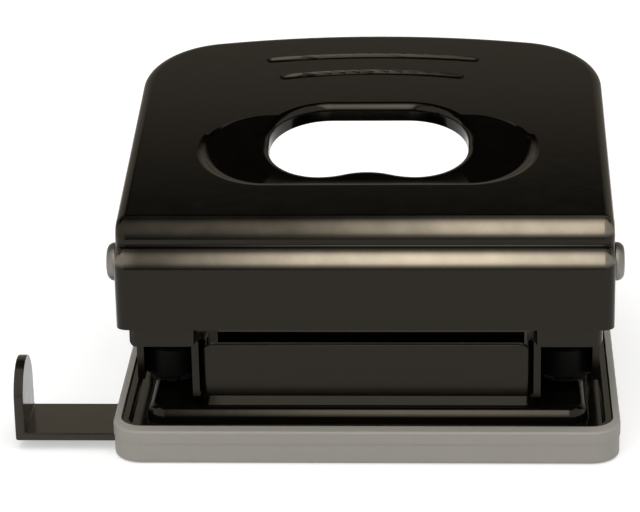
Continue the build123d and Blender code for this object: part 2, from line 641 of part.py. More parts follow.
def grip_groove(half_length, ends, rise):
    """Bowed groove with a round bottom and round ends, sunk in the lever's face."""
    radius = (GRIP_GROOVE_WIDTH ** 2 / 4 + GRIP_GROOVE_DEPTH ** 2) / (2 * GRIP_GROOVE_DEPTH)
    height = radius - GRIP_GROOVE_DEPTH
    path = ThreePointArc((-half_length, ends, height), (0, ends + rise, height),
                         (half_length, ends, height))
    tool = sweep(Plane(origin=path @ 0, z_dir=path % 0) * Circle(radius), path=path)
    for end in (path @ 0, path @ 1):
        tool += Pos(*end) * Sphere(radius)
    return FACE_PLANE * tool


def fold_edges(shell):
    """Upper edges of the hand hole, where the face turns down into the lip."""
    upright = FACE_PLANE.z_dir
    walls = [face for face in shell.faces() if on_hole_wall(face)]
    edges = []
    for wall in walls:
        for edge in wall.edges():
            along = abs((edge % 0.5).dot(upright))
            height = FACE_PLANE.to_local_coords(edge @ 0.5).Z
            if along < 0.2 and height > DISH_DEPTH - HAND_HOLE_LIP + 0.2:
                edges.append(edge)
    return edges


def on_hole_wall(face):
    """True for the faces of the lip that look into the hand hole."""
    middle = face.center()
    normal = face.normal_at(middle)
    local = FACE_PLANE.to_local_coords(middle)
    near_hole = HAND_HOLE_NEAR <= local.Y <= HAND_HOLE_FAR
    near_hole = near_hole and abs(local.X) <= HAND_HOLE_HALF_WIDTH
    centre = FACE_PLANE.from_local_coords((0, (HAND_HOLE_NEAR + HAND_HOLE_FAR) / 2, 0))
    level = abs(normal.dot(FACE_PLANE.z_dir)) < 0.01
    return near_hole and level and normal.dot(centre - middle) > 0


def make_lever_shell():
    """Pressed lever: skirt, two ridges, face with dish and hand hole, turned-down edges."""
    dish = dish_tool(0, 0)
    wall_grow = LEVER_SHEET * tan(radians(DISH_WALL_SLOPE / 2))
    outer = lever_block(0) - dish
    inner = lever_block(LEVER_SHEET) - dish_tool(wall_grow, LEVER_SHEET)
    shell = outer - inner - below_lever()
    lip = extrude(hand_hole_outline(LEVER_SHEET), -HAND_HOLE_LIP)
    upper_skin = extrude(hand_hole_outline(LEVER_SHEET + 1), -LEVER_SHEET / 2)
    shell += lip - dish - upper_skin
    shell -= extrude(hand_hole_outline(0), 3 * HAND_HOLE_LIP, both=True)
    shell = fillet(fold_edges(shell), HAND_HOLE_FOLD)
    for half_length, ends, rise in GRIP_GROOVES:
        shell -= grip_groove(half_length, ends, rise)
    hole = AXLE_RADIUS + SHAFT_FIT
    shell -= cross_rod(PIVOT_Y, PIVOT_Z, -2 * LEVER_HALF, 2 * LEVER_HALF, hole)
    return shell


def make_press_channel():
    """Folded channel welded under the face; its flat web pushes both pins down."""
    t = CHANNEL_SHEET
    under = LEVER_SHEET / cos(radians(FACE_ANGLE))
    front, rear = CHANNEL_FRONT_Y, CHANNEL_REAR_Y
    points = [
        (front, PIN_TOP_Z),
        (rear, PIN_TOP_Z),
        (rear, PIN_TOP_Z + CHANNEL_REAR_LIP),
        (rear - t, PIN_TOP_Z + CHANNEL_REAR_LIP),
        (rear - t, PIN_TOP_Z + t),
        (front + t, PIN_TOP_Z + t),
        (front + t, face_height(front + t) - under),
        (front, face_height(front) - under),
    ]
    bend = CHANNEL_BEND
    radii = [bend, bend, 0.3, 0.3, bend - t, bend - t, 0, 0]
    section = closed_outline(points, radii)
    return side_prism(section, -CHANNEL_HALF_LENGTH, CHANNEL_HALF_LENGTH)


# ---------------------------------------------------------------- pins, springs, clips

def make_punch_pin(side):
    """Hardened pin: domed head, clip groove, hollow ground across the cutting end."""
    x = side * HALF_SPACING
    pin = rod(x, PIN_Y, PIN_TIP_Z, PIN_TOP_Z, PIN_RADIUS)
    dome = Pos(x, PIN_Y, PIN_TOP_Z - PIN_DOME_RADIUS) * Sphere(PIN_DOME_RADIUS)
    dome += rod(x, PIN_Y, 0, PIN_TOP_Z - PIN_DOME_RADIUS, PIN_DOME_RADIUS)
    pin = pin & dome
    groove = rod(x, PIN_Y, PIN_GROOVE_Z, PIN_GROOVE_Z + PIN_GROOVE_WIDTH, PIN_RADIUS + 1)
    groove -= rod(x, PIN_Y, 0, PIN_TOP_Z, PIN_RADIUS - PIN_GROOVE_DEPTH)
    pin -= groove
    cup_z = PIN_TIP_Z + PIN_CUP_DEPTH - PIN_CUP_RADIUS
    pin -= cross_rod(PIN_Y, cup_z, x - HOLE_DIAMETER, x + HOLE_DIAMETER, PIN_CUP_RADIUS)
    return pin


def make_pin_clip(side):
    """Open ring sprung into the pin's groove, mouth to the rear."""
    x = side * HALF_SPACING
    z0 = PIN_GROOVE_Z + (PIN_GROOVE_WIDTH - CLIP_THICKNESS) / 2
    bore = PIN_RADIUS - PIN_GROOVE_DEPTH + SEAT_FIT
    clip = rod(x, PIN_Y, z0, z0 + CLIP_THICKNESS, CLIP_DIAMETER / 2)
    clip -= rod(x, PIN_Y, z0 - 1, z0 + 2, bore)
    half = CLIP_MOUTH / 2
    return clip - block(x - half, x + half, PIN_Y, PIN_Y + CLIP_DIAMETER, z0 - 1, z0 + 2)


def spring_washer_bottom():
    """Underside of the washer that tops the spring."""
    return PIN_GROOVE_Z - SPRING_WASHER_THICKNESS


def make_spring_washer(side):
    """Flat washer between the spring and the clip."""
    x = side * HALF_SPACING
    z0 = spring_washer_bottom()
    washer = rod(x, PIN_Y, z0, PIN_GROOVE_Z, SPRING_WASHER_DIAMETER / 2)
    return washer - rod(x, PIN_Y, z0 - 1, PIN_GROOVE_Z + 1, PIN_RADIUS + SHAFT_FIT)


def helix_point(turn, x, start_z, rise_per_turn):
    """Place and direction on the spring's centre line after some turns."""
    angle = 2 * pi * turn
    radius = SPRING_MEAN_RADIUS
    place = Vector(x + radius * cos(angle), PIN_Y + radius * sin(angle),
                   start_z + rise_per_turn * turn)
    slope = Vector(-2 * pi * radius * sin(angle), 2 * pi * radius * cos(angle), rise_per_turn)
    return place, slope.normalized()


def biarc(p0, t0, p1, t1):
    """Two arcs, tangent to each other, from p0 along t0 to p1 along t1."""
    chord = p1 - p0
    both = t0 + t1
    spare = 2 * (1 - t0.dot(t1))
    along = chord.dot(both)
    reach = (sqrt(along * along + spare * chord.dot(chord)) - along) / spare
    joint = (p0 + p1 + (t0 - t1) * reach) * 0.5
    first = TangentArc(p0, joint, tangent=t0)
    second = TangentArc(joint, p1, tangent=first % 1)
    return [first, second]


def make_return_spring(side):
    """Compression spring: one unbroken wire wound round the pin."""
    x = side * HALF_SPACING
    start_z = GUIDE_TOP_Z + SPRING_END_GAP + SPRING_WIRE / 2
    end_z = spring_washer_bottom() - SPRING_END_GAP - SPRING_WIRE / 2
    pitch = (end_z - start_z) / SPRING_TURNS
    half_turns = round(2 * SPRING_TURNS)
    arcs = []
    for step in range(half_turns):
        p0, t0 = helix_point(step / 2, x, start_z, pitch)
        p1, t1 = helix_point((step + 1) / 2, x, start_z, pitch)
        arcs += biarc(p0, t0, p1, t1)
    path = Wire(arcs)
    section = Plane(origin=path @ 0, z_dir=path % 0) * Circle(SPRING_WIRE / 2)
    return sweep(section, path=path), path


def least_self_gap(path, samples_per_turn=24):
    """Smallest free gap between neighbouring turns, measured on points of the wire."""
    count = round(SPRING_TURNS * samples_per_turn)
    points = [path @ (i / count) for i in range(count + 1)]
    least = 1e9
    for i, a in enumerate(points):
        for b in points[i + samples_per_turn // 2:]:
            least = min(least, (a - b).length)
    return least - SPRING_WIRE


# ---------------------------------------------------------------- paper guide

def make_paper_guide():
    """Translucent strip under the platform, with an arch-topped stop at its outer end."""
    bottom = GUIDE_STRIP_BOTTOM_Z
    stop_outer = GUIDE_STOP_X - GUIDE_STOP_THICKNESS
    strip = block(stop_outer, GUIDE_INNER_END_X, GUIDE_STRIP_FRONT_Y, GUIDE_STRIP_REAR_Y,
                  bottom, GUIDE_STRIP_TOP_Z)
    front, rear = GUIDE_STRIP_FRONT_Y, GUIDE_STRIP_REAR_Y
    half = (rear - front) / 2
    middle = (rear + front) / 2
    spring_line = GUIDE_STOP_TOP_Z - half
    with BuildSketch() as arch:
        with BuildLine():
            foot = Line((front, bottom), (rear, bottom))
            back = Line(foot @ 1, (rear, spring_line))
            top = ThreePointArc(back @ 1, (middle, GUIDE_STOP_TOP_Z), (front, spring_line))
            Line(top @ 1, foot @ 0)
        make_face()
    stop = side_prism(arch.sketch, stop_outer, GUIDE_STOP_X)
    guide = strip + stop
    return fillet(guide.edges().filter_by(Axis.Y).group_by(Axis.X)[0], 0.5)


# ---------------------------------------------------------------- build

save(make_chip_tray(), "chip_tray")
save(make_base_plate(), "base_plate")
save(make_rivets(), "base_rivets")
save(make_back_stop(), "back_stop")
save(make_front_panel(), "front_panel")
save(make_pivot_axle(), "pivot_axle")
save(make_lever_shell(), "lever_shell")
save(make_press_channel(), "press_channel")
save(make_paper_guide(), "paper_guide")
for side_name, side in SIDES.items():
    save(make_die(side), f"die_{side_name}")
    save(make_bracket(side), f"bracket_{side_name}")
    save(make_pin_guide(side), f"pin_guide_{side_name}")
    save(make_axle_washer(side), f"axle_washer_{side_name}")
    save(make_punch_pin(side), f"punch_pin_{side_name}")
    save(make_pin_clip(side), f"pin_clip_{side_name}")
    save(make_spring_washer(side), f"spring_washer_{side_name}")
    spring, wire_path = make_return_spring(side)
    save(spring, f"return_spring_{side_name}")
    print(f"return_spring_{side_name}: least gap to itself {least_self_gap(wire_path):.2f} mm")
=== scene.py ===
# %% [markdown]
# # Dressing a two-hole desk punch
#
# The machine's measured solids come in as a fixed frame. This file gives them the finish of
# the real machine: stoved black enamel, a grey moulded tray, a smoky guide strip and plated
# steel. Everything is in metres, +Z up, with the paper slot on the -Y side.

import json
import math

import bmesh
import bpy
from mathutils import Matrix, Vector


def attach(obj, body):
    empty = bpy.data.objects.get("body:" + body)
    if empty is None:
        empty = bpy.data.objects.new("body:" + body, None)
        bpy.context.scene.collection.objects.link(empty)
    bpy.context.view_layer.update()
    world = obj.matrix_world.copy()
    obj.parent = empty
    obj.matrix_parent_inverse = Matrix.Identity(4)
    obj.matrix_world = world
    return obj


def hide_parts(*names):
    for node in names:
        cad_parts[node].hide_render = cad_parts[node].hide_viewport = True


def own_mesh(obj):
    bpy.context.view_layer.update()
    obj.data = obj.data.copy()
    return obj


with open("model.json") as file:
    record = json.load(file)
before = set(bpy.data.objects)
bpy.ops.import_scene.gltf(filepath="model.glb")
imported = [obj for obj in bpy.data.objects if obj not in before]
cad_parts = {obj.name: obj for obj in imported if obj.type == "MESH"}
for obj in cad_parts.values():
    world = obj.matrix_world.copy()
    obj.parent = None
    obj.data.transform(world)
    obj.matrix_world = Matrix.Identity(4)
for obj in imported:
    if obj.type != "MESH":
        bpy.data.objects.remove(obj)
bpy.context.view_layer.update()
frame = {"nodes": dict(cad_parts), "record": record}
nodes = frame["nodes"]

# %% [markdown]
# ## Camera
#
# The photograph was taken from well back with a long lens, a little right of the middle and
# about 22 degrees above the machine. The place, the three turns and the lens were solved from
# corners of the machine, so they are simply written down.

# %% Camera
CAMERA_PLACE = Vector((0.0203, -0.5751, 0.2577))
CAMERA_YAW = math.radians(-3.08)
CAMERA_DIP = math.radians(21.92)
CAMERA_ROLL = math.radians(-1.19)
CAMERA_LENS, SENSOR_WIDTH = 166.8, 36.0      # mm
NEAREST_SEEN, FARTHEST_SEEN = 0.05, 20.0

camera_data = bpy.data.cameras.new("camera")
camera_data.sensor_width = SENSOR_WIDTH
camera_data.lens = CAMERA_LENS
camera_data.clip_start, camera_data.clip_end = NEAREST_SEEN, FARTHEST_SEEN
camera = bpy.data.objects.new("camera", camera_data)
turn = Matrix.Rotation(-CAMERA_YAW, 4, "Z")
turn @= Matrix.Rotation(math.pi / 2 - CAMERA_DIP, 4, "X")
turn @= Matrix.Rotation(CAMERA_ROLL, 4, "Z")
camera.matrix_world = Matrix.Translation(CAMERA_PLACE) @ turn
bpy.context.scene.collection.objects.link(camera)
bpy.context.scene.camera = camera
bpy.context.scene.view_settings.view_transform = "Standard"
print("camera", round(CAMERA_PLACE.length, 3), "m from the origin, lens", CAMERA_LENS, "mm")

# %% [markdown]
# ## Small helpers for node materials
#
# Each finish below is a Principled shader with a little procedural unevenness. One helper
# starts a finish and hands back its node tree, and the others add a noise, a wandering
# colour and a bump. Patterns read Object coordinates, so they stay fixed to the metal when a
# piece moves.

# %% Material helpers
NOISE_LOW, NOISE_HIGH = 0.3, 0.7      # nearly all of a noise texture lies between these


def start_finish(name, colour, roughness, metallic=0.0):
    """A new material with a Principled shader, and Object coordinates to hang patterns on."""
    finish = bpy.data.materials.new(name)
    finish.use_nodes = True
    tree = finish.node_tree
    shader = tree.nodes["Principled BSDF"]
    shader.inputs["Base Color"].default_value = (*colour, 1)
    shader.inputs["Roughness"].default_value = roughness
    shader.inputs["Metallic"].default_value = metallic
    place = tree.nodes.new("ShaderNodeTexCoord").outputs["Object"]
    return finish, tree, shader, place


def noise(tree, place, scale, detail, stretch=(1, 1, 1)):
    """Noise over the piece; scale is in waves a metre, stretch crowds it along an axis."""
    mapping = tree.nodes.new("ShaderNodeMapping")
    mapping.inputs["Scale"].default_value = stretch
    texture = tree.nodes.new("ShaderNodeTexNoise")
    texture.inputs["Scale"].default_value = scale
    texture.inputs["Detail"].default_value = detail
    tree.links.new(place, mapping.inputs["Vector"])
    tree.links.new(mapping.outputs["Vector"], texture.inputs["Vector"])
    return texture.outputs["Fac"]


def spread(tree, value, low, high):
    """Spread a noise value between two ends."""
    ramp = tree.nodes.new("ShaderNodeMapRange")
    ramp.inputs["From Min"].default_value = NOISE_LOW
    ramp.inputs["From Max"].default_value = NOISE_HIGH
    ramp.inputs["To Min"].default_value = low
    ramp.inputs["To Max"].default_value = high
    tree.links.new(value, ramp.inputs["Value"])
    return ramp.outputs["Result"]


def blend(tree, factor, first, second):
    """Colour or value part of the way from first to second."""
    node = tree.nodes.new("ShaderNodeMix")
    node.data_type = "RGBA"
    tree.links.new(factor, node.inputs["Factor"])
    for name, end in (("A", first), ("B", second)):
        if isinstance(end, tuple):
            node.inputs[name].default_value = (*end, 1)
        else:
            tree.links.new(end, node.inputs[name])
    return node.outputs["Result"]


def mottle(tree, shader, value, dark, light):
    """Let the base colour wander between two close shades."""
    tree.links.new(blend(tree, value, dark, light), shader.inputs["Base Color"])


def bump(tree, shader, value, height, strength):
    """Raise the surface by height metres where the value is 1."""
    node = tree.nodes.new("ShaderNodeBump")
    node.inputs["Distance"].default_value = height
    node.inputs["Strength"].default_value = strength
    tree.links.new(value, node.inputs["Height"])
    tree.links.new(node.outputs["Normal"], shader.inputs["Normal"])


print("helpers for finishes are ready")

# %% [markdown]
# ## Black stoved enamel
#
# The lever, base plate, brackets and panel are pressed steel under one coat of satin black
# enamel. It isn't quite flat: a faint orange peel, a few millimetres from crest to crest,
# breaks up its reflections. A low index of refraction keeps the skirts black while they
# mirror the white table.

# %% Black enamel
ENAMEL_ROUGHNESS = 0.15
ROUGHNESS_WANDER = 0.02
ENAMEL_IOR = 1.37
WARM_GLOSS = (1.0, 0.90, 0.76)
DARKER_ENAMEL = 0.88


def black_enamel(name, colour):
    """Stoved enamel: dark warm base, slight orange peel, satin gloss."""
    finish, tree, shader, place = start_finish(name, colour, ENAMEL_ROUGHNESS)
    shader.inputs["IOR"].default_value = ENAMEL_IOR
    shader.inputs["Specular Tint"].default_value = (*WARM_GLOSS, 1)
    rough = spread(tree, noise(tree, place, scale=260, detail=3),
                   ENAMEL_ROUGHNESS - ROUGHNESS_WANDER, ENAMEL_ROUGHNESS + ROUGHNESS_WANDER)
    tree.links.new(rough, shader.inputs["Roughness"])
    darker = tuple(DARKER_ENAMEL * part for part in colour)
    mottle(tree, shader, noise(tree, place, scale=90, detail=2), darker, colour)
    orange_peel = noise(tree, place, scale=420, detail=3)
    bump(tree, shader, orange_peel, height=0.00002, strength=0.5)
    return finish, tree, shader, place


enamel = black_enamel("black_enamel", (0.0030, 0.0026, 0.0018))[0]
print(enamel.name, "has", len(enamel.node_tree.nodes), "nodes")

# %% [markdown]
# ## Masks
#
# Some finishes change along a piece. Map Range nodes in their Smoothstep setting turn an
# Object coordinate into a soft-edged mask, and products of masks make bands and patches. The
# same helpers shape the lamp's glow further down.

# %% Mask helpers
def smooth_step(tree, value, start, end, low=0.0, high=1.0):
    """Ease from low to high while a value goes from start to end."""
    ramp = tree.nodes.new("ShaderNodeMapRange")
    ramp.interpolation_type = "SMOOTHSTEP"
    ramp.inputs["From Min"].default_value = start
    ramp.inputs["From Max"].default_value = end
    ramp.inputs["To Min"].default_value = low
    ramp.inputs["To Max"].default_value = high
    tree.links.new(value, ramp.inputs["Value"])
    return ramp.outputs["Result"]


def fall(tree, value, start, end):
    """1 up to start, easing to 0 at end."""
    return smooth_step(tree, value, start, end, 1.0, 0.0)


def combine(tree, operation, first, second):
    """Product, greater one or the like of two values."""
    node = tree.nodes.new("ShaderNodeMath")
    node.operation = operation
    tree.links.new(first, node.inputs[0])
    if isinstance(second, float):
        node.inputs[1].default_value = second
    else:
        tree.links.new(second, node.inputs[1])
    return node.outputs[0]


def band(tree, value, start, full, fading, end):
    """1 between full and fading, easing to 0 at start and end."""
    return combine(tree, "MULTIPLY", smooth_step(tree, value, start, full),
                   fall(tree, value, fading, end))


def apart(tree, place):
    """The three coordinates of a place."""
    node = tree.nodes.new("ShaderNodeSeparateXYZ")
    tree.links.new(place, node.inputs[0])
    return node.outputs["X"], node.outputs["Y"], node.outputs["Z"]


print("helpers for masks are ready")

# %% [markdown]
# ## The lever's own enamel
#
# The lever's two ridges carry painted highlights. They are made to shine far more than the flat
# face, the right end of the upper one most of all. They are given as a dark polished metal,
# because a metal's colour is its reflection, and that colour is set brighter where the
# highlights should be brighter. Masks keep the painted sheen to the crown of each ridge. The
# sharp groove between them gets less gloss, a painted shade in the crease, and shines least.

# %% Crowns of the ridges
LOWER_CROWN_UP = (0.0399, 0.0412)
LOWER_CROWN_BACK = (-0.0399, -0.0389)
UPPER_CROWN_UP = (0.0448, 0.0461)
UPPER_CROWN_FRONT = (-0.0390, -0.0382)
UPPER_CROWN_BACK = (-0.0357, -0.0346)

lever_enamel, tree, shader, place = black_enamel("lever_enamel", (0.0010, 0.0008, 0.0005))
across, back, up = apart(tree, place)
lower_crown = combine(tree, "MULTIPLY", smooth_step(tree, up, *LOWER_CROWN_UP),
                      fall(tree, back, *LOWER_CROWN_BACK))
upper_crown = combine(tree, "MULTIPLY", smooth_step(tree, up, *UPPER_CROWN_UP),
                      band(tree, back, *UPPER_CROWN_FRONT, *UPPER_CROWN_BACK))
crowns = combine(tree, "MAXIMUM", lower_crown, upper_crown)
# The metal on the crowns is a painted sheen that makes them shine more than the face.
tree.links.new(crowns, shader.inputs["Metallic"])
print("crowns", round(1000 * (UPPER_CROWN_UP[1] - LOWER_CROWN_UP[1]), 1), "mm apart in height")

# %% Painted highlights on the ridges
# Where the ridges' painted highlights go from dim to bright along their length.
LOWER_HIGHLIGHT_RAMP = (-0.050, -0.008)         # across, where the lower ridge goes from dull to bright
LEFT_END = (-0.0490, -0.0435)         # its left end is bright again
UPPER_HIGHLIGHT_RAMP = (-0.022, 0.052)
BETWEEN_RIDGES = (0.0432, 0.0440)
CROWN_ROUGHNESS = 0.24

# The dim and bright colours of each ridge are painted highlight, and a noise breaks them into
# patches.
patches = spread(tree, noise(tree, place, scale=180, detail=4), low=0.0, high=1.0)
lower_dim_highlight = blend(tree, patches, (0.050, 0.045, 0.037), (0.066, 0.059, 0.049))
lower_bright_highlight = blend(tree, patches, (0.165, 0.148, 0.121), (0.200, 0.180, 0.149))
upper_dim_highlight = blend(tree, patches, (0.026, 0.023, 0.019), (0.038, 0.034, 0.028))
upper_bright_highlight = blend(tree, patches, (0.155, 0.139, 0.114), (0.190, 0.171, 0.141))
lower_painted_sheen = blend(tree, smooth_step(tree, across, *LOWER_HIGHLIGHT_RAMP), lower_dim_highlight, lower_bright_highlight)
lower_painted_sheen = blend(tree, fall(tree, across, *LEFT_END), lower_painted_sheen, lower_bright_highlight)
upper_painted_sheen = blend(tree, smooth_step(tree, across, *UPPER_HIGHLIGHT_RAMP), upper_dim_highlight, upper_bright_highlight)
painted_sheen = blend(tree, smooth_step(tree, up, *BETWEEN_RIDGES), lower_painted_sheen, upper_painted_sheen)
plain = shader.inputs["Base Color"].links[0].from_socket
tree.links.new(blend(tree, crowns, plain, painted_sheen), shader.inputs["Base Color"])
plain_roughness = shader.inputs["Roughness"].links[0].from_socket
tree.links.new(blend(tree, crowns, plain_roughness, (CROWN_ROUGHNESS,) * 3),
               shader.inputs["Roughness"])
print(lever_enamel.name, "has", len(tree.nodes), "nodes")

# %% Groove between the ridges
GROOVE_UP = (0.0430, 0.0432, 0.0437, 0.0440)
GROOVE_BACK = (-0.0390, -0.0387, -0.0378, -0.0375)
FULL_GLOSS, GROOVE_SHADE_GLOSS = 0.5, 0.35

# The lower gloss in the groove is a painted shade in the crease.
groove = combine(tree, "MULTIPLY", band(tree, up, *GROOVE_UP), band(tree, back, *GROOVE_BACK))
tree.links.new(smooth_step(tree, groove, 0.0, 1.0, FULL_GLOSS, GROOVE_SHADE_GLOSS),
               shader.inputs["Specular IOR Level"])
print("groove gloss goes down to", GROOVE_SHADE_GLOSS)

# %% [markdown]
# ## Grey moulded tray
#
# The tray is one polypropylene moulding with a fine spark-eroded texture, so it is matt and
# very slightly warm.

# %% Tray plastic
tray_plastic, tree, shader, place = start_finish("tray_plastic", (0.372, 0.354, 0.320), 0.55)
mottle(tree, shader, noise(tree, place, scale=60, detail=3),
       dark=(0.356, 0.339, 0.306), light=(0.388, 0.369, 0.334))
tree.links.new(spread(tree, noise(tree, place, scale=900, detail=2), low=0.5, high=0.62),
               shader.inputs["Roughness"])
spark_texture = noise(tree, place, scale=3500, detail=2)
bump(tree, shader, spark_texture, height=0.00002, strength=0.5)
print(tray_plastic.name, "has", len(tree.nodes), "nodes")

# %% [markdown]
# ## Smoky guide strip
#
# The paper guide is a smoky, see-through plastic. A transmitting shader with a dark tint
# lets the floor show through the upright tab, as in the photograph.

# %% Smoky plastic
smoky, tree, shader, place = start_finish("smoky_plastic", (0.018, 0.0145, 0.0095), 0.16)
shader.inputs["Transmission Weight"].default_value = 0.8
shader.inputs["IOR"].default_value = 1.49
shader.inputs["Specular IOR Level"].default_value = 0.25
shader.inputs["Specular Tint"].default_value = (1.0, 0.92, 0.80, 1)
mottle(tree, shader, noise(tree, place, scale=70, detail=2),
       dark=(0.015, 0.012, 0.0078), light=(0.021, 0.017, 0.0112))
tree.links.new(spread(tree, noise(tree, place, scale=500, detail=2), low=0.12, high=0.2),
               shader.inputs["Roughness"])
print(smoky.name, "has", len(tree.nodes), "nodes")

# %% [markdown]
# ## Bright and plain steels
#
# The axle heads and rivets are zinc plated, the pins and dies are ground, and the springs
# are drawn wire. All are metal with a fine streak or grain that follows how each was made.

# %% Steels
DARKER_STEEL = 0.86
SMOOTHER, ROUGHER = 0.06, 0.08        # how far the grain takes the roughness each way
EVEN, GROUND = (1, 1, 1), (1, 1, 12)     # grain alike all ways, or in rings round the pin


def steel(name, colour, roughness, stretch, grain):
    """Bare or plated steel with a fine directional grain."""
    finish, tree, shader, place = start_finish(name, colour, roughness, metallic=1.0)
    fine = noise(tree, place, grain, detail=3, stretch=stretch)
    tree.links.new(spread(tree, fine, roughness - SMOOTHER, roughness + ROUGHER),
                   shader.inputs["Roughness"])
    darker = tuple(DARKER_STEEL * part for part in colour)
    mottle(tree, shader, noise(tree, place, scale=400, detail=3), darker, colour)
    bump(tree, shader, fine, height=0.00001, strength=0.4)
    return finish


zinc = steel("zinc_steel", (0.24, 0.23, 0.21), 0.45, EVEN, grain=1500)
pin_steel = steel("pin_steel", (0.52, 0.51, 0.49), 0.22, GROUND, grain=700)
die_steel = steel("die_steel", (0.33, 0.32, 0.31), 0.28, GROUND, grain=700)
spring_steel = steel("spring_steel", (0.42, 0.41, 0.39), 0.3, EVEN, grain=1200)
print("steels:", zinc.name, pin_steel.name, die_steel.name, spring_steel.name)

# %% [markdown]
# ## Guide blocks
#
# The blocks that guide the pins stand in the brackets' shade. They are blackened and matt,
# so they reflect very little.

# %% Guide metal
guide_metal, tree, shader, place = start_finish("guide_metal", (0.0025, 0.0022, 0.0018), 0.5)
shader.inputs["Specular IOR Level"].default_value = 0.12
tree.links.new(spread(tree, noise(tree, place, scale=800, detail=3), low=0.42, high=0.58),
               shader.inputs["Roughness"])
bump(tree, shader, noise(tree, place, scale=1800, detail=2), height=0.00002, strength=0.5)
print(guide_metal.name, "has", len(tree.nodes), "nodes")

# %% [markdown]
# ## Giving out the finishes
#
# The frame's record names a material slot for each piece. A finish with a piece's own name
# comes before that of its slot, and only the lever has one.

# %% Finish of each piece
FINISHES = {
    "lever_shell": lever_enamel,
    "black_enamel": enamel,
    "tray_plastic": tray_plastic,
    "smoky_plastic": smoky,
    "zinc_steel": zinc,
    "pin_steel": pin_steel,
    "die_steel": die_steel,
    "spring_steel": spring_steel,
    "guide_metal": guide_metal,
}
SLOT_OF = {part["node"]: part["material_slot"] for part in frame["record"]["subparts"]}


def finish_of(name):
    """A piece's own finish where it has one, or else that of its slot."""
    return FINISHES.get(name, FINISHES[SLOT_OF[name]])


for name, node in nodes.items():
    node.data.materials.clear()
    node.data.materials.append(finish_of(name))
print(len(nodes), "nodes have a finish")

# %% [markdown]
# ## Softer edges on the pressed and moulded pieces
#
# The frame's meshes are exact but every edge is razor sharp, and their facets don't shade
# smoothly. A pressing or a moulding never has such an edge. Each piece that shows is
# copied, its loose triangles are merged, flat areas are joined up, and a small bevel is
# run along the sharp edges. The bevel catches the light as the real edges do.

# %% Softened copies
SHARP = math.radians(34)              # edges that turn more than this get a bevel
FLAT = math.radians(0.5)              # faces that turn less than this are joined up
SAME_PLACE = 1e-6
BEVEL_SEGMENTS = 2
ALONG = 0.99999                       # cosine past which a face counts as along a direction
BODY_OF = {name: body for body, members in frame["record"]["behaviour"]["bodies"].items()
           for name in members}


def softened(name, edge, before=None, flat=None, spare=None):
    """A merged, smooth-shaded copy of a node with its sharp edges bevelled by edge metres.

    before works on the mesh in place of joining flat areas, faces along flat stay flat
    shaded, and edges for which spare is true get no bevel.
    """
    mesh = bmesh.new()
    mesh.from_mesh(nodes[name].data)
    bmesh.ops.remove_doubles(mesh, verts=mesh.verts, dist=SAME_PLACE)
    if before:
        before(mesh)
    else:
        bmesh.ops.dissolve_limit(mesh, angle_limit=FLAT, verts=mesh.verts,
                                 edges=mesh.edges, delimit=set())
    for face in mesh.faces:
        face.smooth = flat is None or face.normal.dot(flat) < ALONG
    for line in mesh.edges:
        line.smooth = line.calc_face_angle(0) < SHARP
    if spare:
        weights = mesh.edges.layers.float.new("bevel_weight_edge")
        for line in mesh.edges:
            line[weights] = 0.0 if line.smooth or spare(line) else 1.0
    data = bpy.data.meshes.new(f"{name}_piece")
    mesh.to_mesh(data)
    mesh.free()
    piece = bpy.data.objects.new(f"{name}_piece", data)
    bpy.context.scene.collection.objects.link(piece)
    data.materials.append(finish_of(name))
    if edge:
        bevel = piece.modifiers.new("edge", "BEVEL")
        bevel.width = edge
        bevel.segments = BEVEL_SEGMENTS
        bevel.limit_method = "WEIGHT" if spare else "ANGLE"
        bevel.angle_limit = SHARP
        bevel.harden_normals = True
        bevel.use_clamp_overlap = True
    weighted = piece.modifiers.new("shading", "WEIGHTED_NORMAL")
    weighted.keep_sharp = True
    weighted.mode = "FACE_AREA_WITH_ANGLE"
    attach(piece, BODY_OF[name])
    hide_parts(name)
    return piece


EDGES = {
    "base_plate": 0.0003, "bracket_left": 0.0002, "bracket_right": 0.0002,
    "front_panel": 0.0002, "chip_tray": 0.0003, "paper_guide": 0.00025,
    "pin_guide_left": 0.0002, "pin_guide_right": 0.0002, "pivot_axle": 0.00015,
    "press_channel": 0.0002, "back_stop": 0.0002, "base_rivets": 0.0001,
}
for name, edge in EDGES.items():
    piece = softened(name, edge)
    print(name, len(piece.data.polygons), "faces before its bevel")

# %% [markdown]
# ## The lever's dish
#
# The shallow dish round the hand hole is pressed, so its sides run softly into the face and
# into its floor. These two bends are bevelled first, wide and with more segments, where the
# dish is deep. The lever's other sharp edges then get the same kind of narrow bevel as the
# other pieces, and the two shallow grip grooves none.

# %% Places on the lever's face
FACE_ORIGIN = Vector((0, -0.0381, 0.04793))
FACE_SLOPE = math.radians(10.07)
FACE_UP = Vector((0, -math.sin(FACE_SLOPE), math.cos(FACE_SLOPE)))
FACE_BACK = Vector((0, math.cos(FACE_SLOPE), math.sin(FACE_SLOPE)))


def on_face(line):
    """Where an edge's middle lies on the lever's face: across, up the slope, depth below it."""
    reach = (line.verts[0].co + line.verts[1].co) / 2 - FACE_ORIGIN
    return abs(reach.x), reach.dot(FACE_BACK), -reach.dot(FACE_UP)


print("the lever's face slopes", round(math.degrees(FACE_SLOPE), 2), "degrees")

# %% Lever
DISH_BEND, DISH_SEGMENTS = 0.0008, 4
DISH_HALF_WIDTH, DISH_FRONT, DISH_REAR = 0.0345, 0.0153, 0.0340
DISH_TOP, DISH_BOTTOM = -0.0002, 0.0021
HOLE_HALF_WIDTH, HOLE_FRONT = 0.0225, 0.0195
GRIP_HALF_WIDTH, GRIP_FRONT, GRIP_REAR, GRIP_DEPTH = 0.024, 0.0570, 0.0720, 0.0009
LEVER_EDGE = 0.00035


